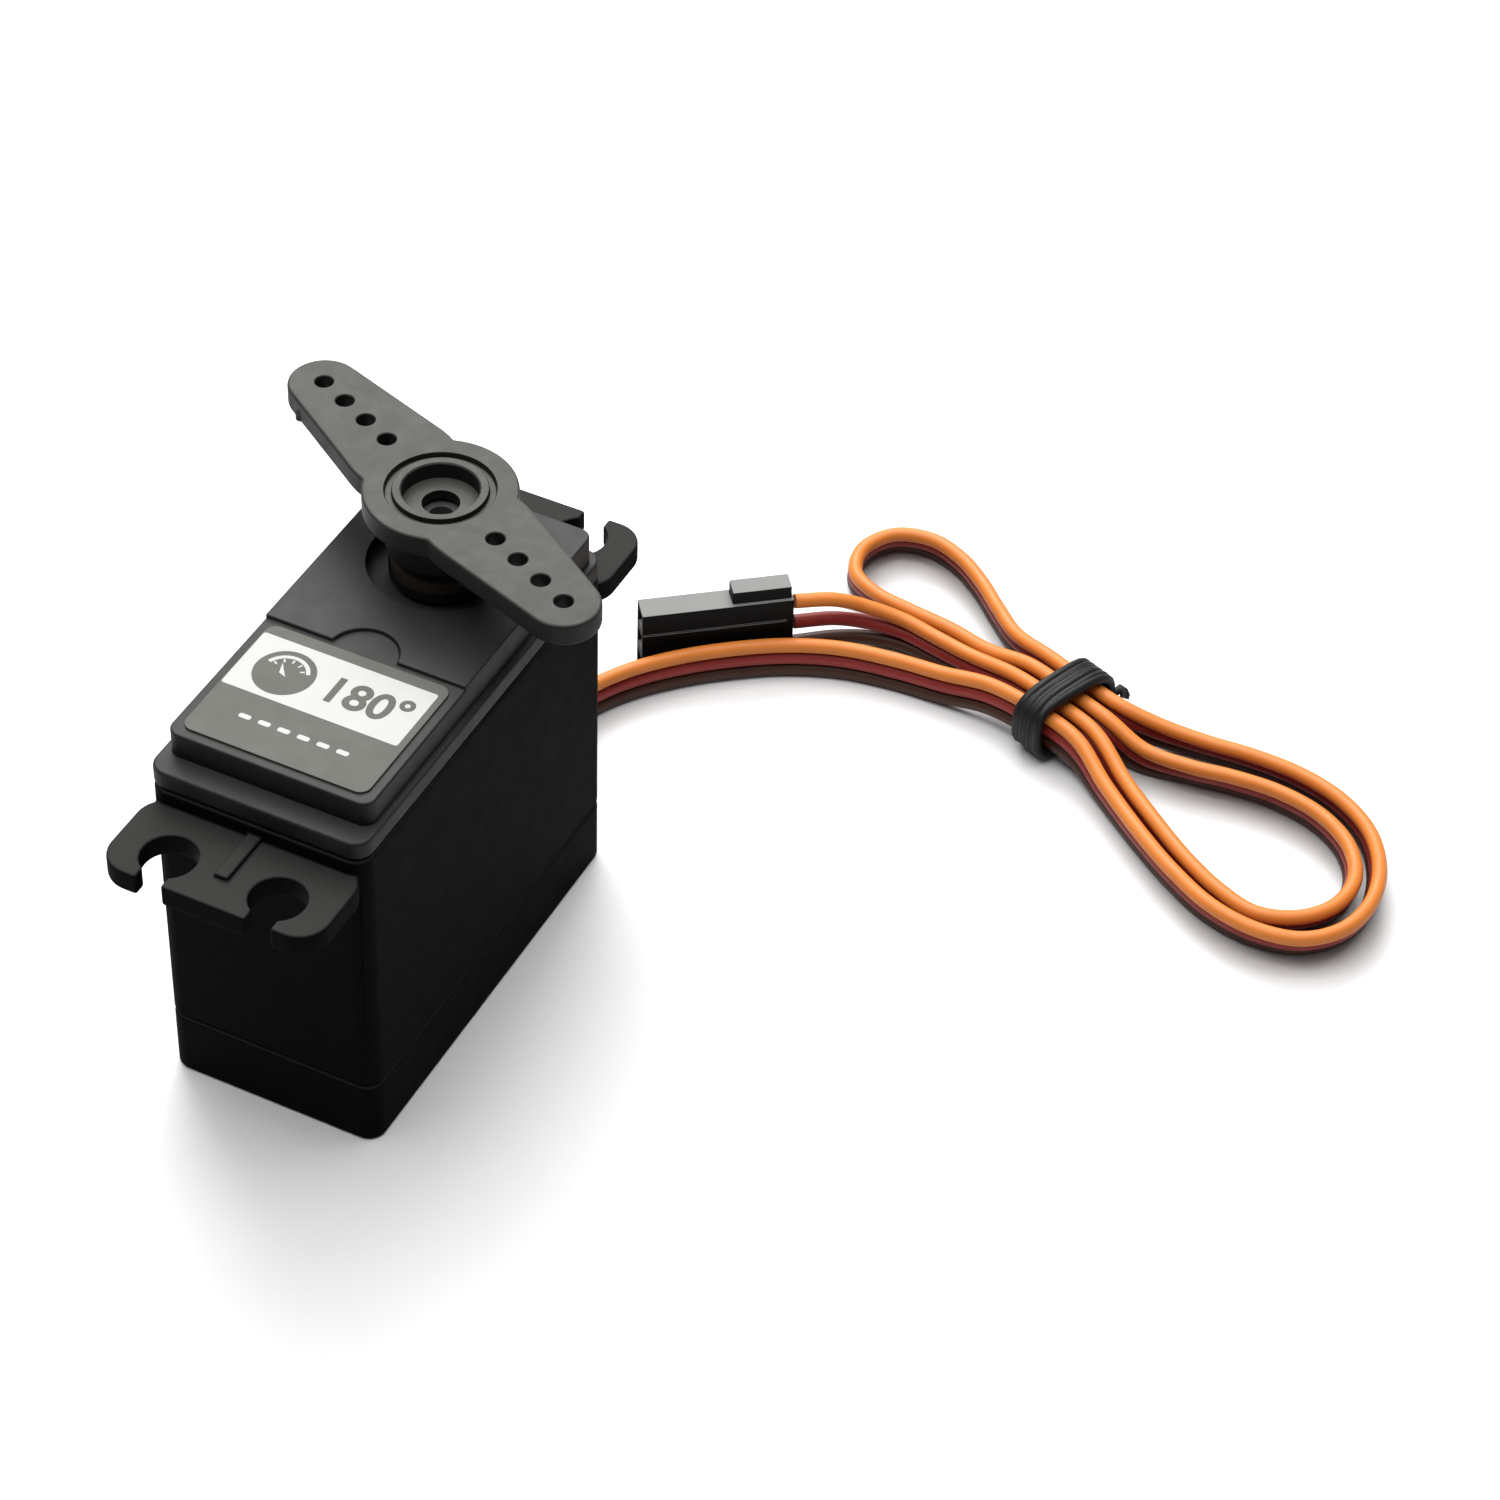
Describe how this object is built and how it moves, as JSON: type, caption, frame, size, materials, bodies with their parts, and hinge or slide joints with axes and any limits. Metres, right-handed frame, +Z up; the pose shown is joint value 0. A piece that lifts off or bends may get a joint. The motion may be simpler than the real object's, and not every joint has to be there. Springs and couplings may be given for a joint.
{
  "type": "servo motor",
  "caption": "Black plastic hobby servo motor with slotted mounting lugs, a two-arm output horn, an internal gear train and a tied three-wire lead with a plug.",
  "frame": {"origin": "on the output shaft's axis, in the plane of the case's base", "axes": "+Z up along the output shaft; +X along the case's length, from the label end to the shaft and wire end; +Y across the case's width"},
  "size_m": [0.0995, 0.0936, 0.045],
  "materials": {
    "case_plastic": "fine moulded texture",
    "cover_plastic": "fine moulded texture",
    "screw_steel": "plated",
    "pin_steel": "ground",
    "can_steel": "plated",
    "brass": "machined",
    "sintered_bronze": "porous, oil-filled",
    "shaft_nylon": "moulded",
    "magnet": "sintered",
    "winding": "lacquered windings on a steel core",
    "gear_nylon": "moulded",
    "end_cap_plastic": "moulded",
    "pot_body": "moulded",
    "board": "solder mask",
    "chip": "moulded",
    "capacitor": "moulded",
    "label_film": "printed film, grey with a white band and a dial figure",
    "horn_plastic": "moulded nylon",
    "grommet_rubber": "matt",
    "ground_insulation": "satin",
    "power_insulation": "satin",
    "signal_insulation": "satin",
    "plug_plastic": "moulded",
    "tie_plastic": "plastic-coated tie"
  },
  "bodies": {
    "housing": {"bottom_cover": "case_plastic", "middle_case": "case_plastic", "top_cover": "cover_plastic", "case_screw_1": "screw_steel", "case_screw_2": "screw_steel", "case_screw_3": "screw_steel", "case_screw_4": "screw_steel", "output_bushing": "sintered_bronze", "label": "label_film", "idler_pin": "pin_steel", "motor_can": "can_steel", "motor_end_cap": "end_cap_plastic", "motor_magnet_front": "magnet", "motor_magnet_back": "magnet", "motor_terminal_left": "brass", "motor_terminal_right": "brass", "potentiometer": "pot_body", "circuit_board": "board", "driver_chip": "chip", "transistor_left": "chip", "transistor_right": "chip", "smoothing_capacitor": "capacitor", "wire_grommet": "grommet_rubber", "ground_wire": "ground_insulation", "power_wire": "power_insulation", "signal_wire": "signal_insulation", "plug_housing": "plug_plastic", "ground_contact": "brass", "power_contact": "brass", "signal_contact": "brass", "cable_tie": "tie_plastic"},
    "motor_rotor": {"rotor": "winding", "motor_pinion": "brass"},
    "first_stage": {"first_gear": "gear_nylon"},
    "second_stage": {"second_gear": "gear_nylon"},
    "third_stage": {"third_gear": "gear_nylon"},
    "output": {"output_gear": "shaft_nylon", "horn": "horn_plastic", "potentiometer_shaft": "gear_nylon"}
  },
  "joints": [
    {"name": "output_turn", "type": "hinge", "parent": "housing", "child": "output", "pos_m": [0, 0, 0.04], "axis": [0, 0, 1], "range_deg": [-90, 90]},
    {"name": "third_stage_turn", "type": "hinge", "parent": "housing", "child": "third_stage", "pos_m": [-0.01, 0, 0.033], "axis": [0, 0, 1], "range_deg": [-257, 257]},
    {"name": "second_stage_turn", "type": "hinge", "parent": "housing", "child": "second_stage", "pos_m": [0, 0, 0.032], "axis": [0, 0, 1], "range_deg": [-545, 545]},
    {"name": "first_stage_turn", "type": "hinge", "parent": "housing", "child": "first_stage", "pos_m": [-0.01, 0, 0.03], "axis": [0, 0, 1], "range_deg": [-2179, 2179]},
    {"name": "rotor_turn", "type": "hinge", "parent": "housing", "child": "motor_rotor", "pos_m": [-0.0184, 0, 0.018], "axis": [0, 0, 1], "range_deg": [-10020, 10020]}
  ],
  "couplings": [
    {"joint": "third_stage_turn", "follows": "output_turn", "ratio": -2.8462},
    {"joint": "second_stage_turn", "follows": "output_turn", "ratio": 6.0481},
    {"joint": "first_stage_turn", "follows": "output_turn", "ratio": -24.192},
    {"joint": "rotor_turn", "follows": "output_turn", "ratio": 111.28}
  ]
}
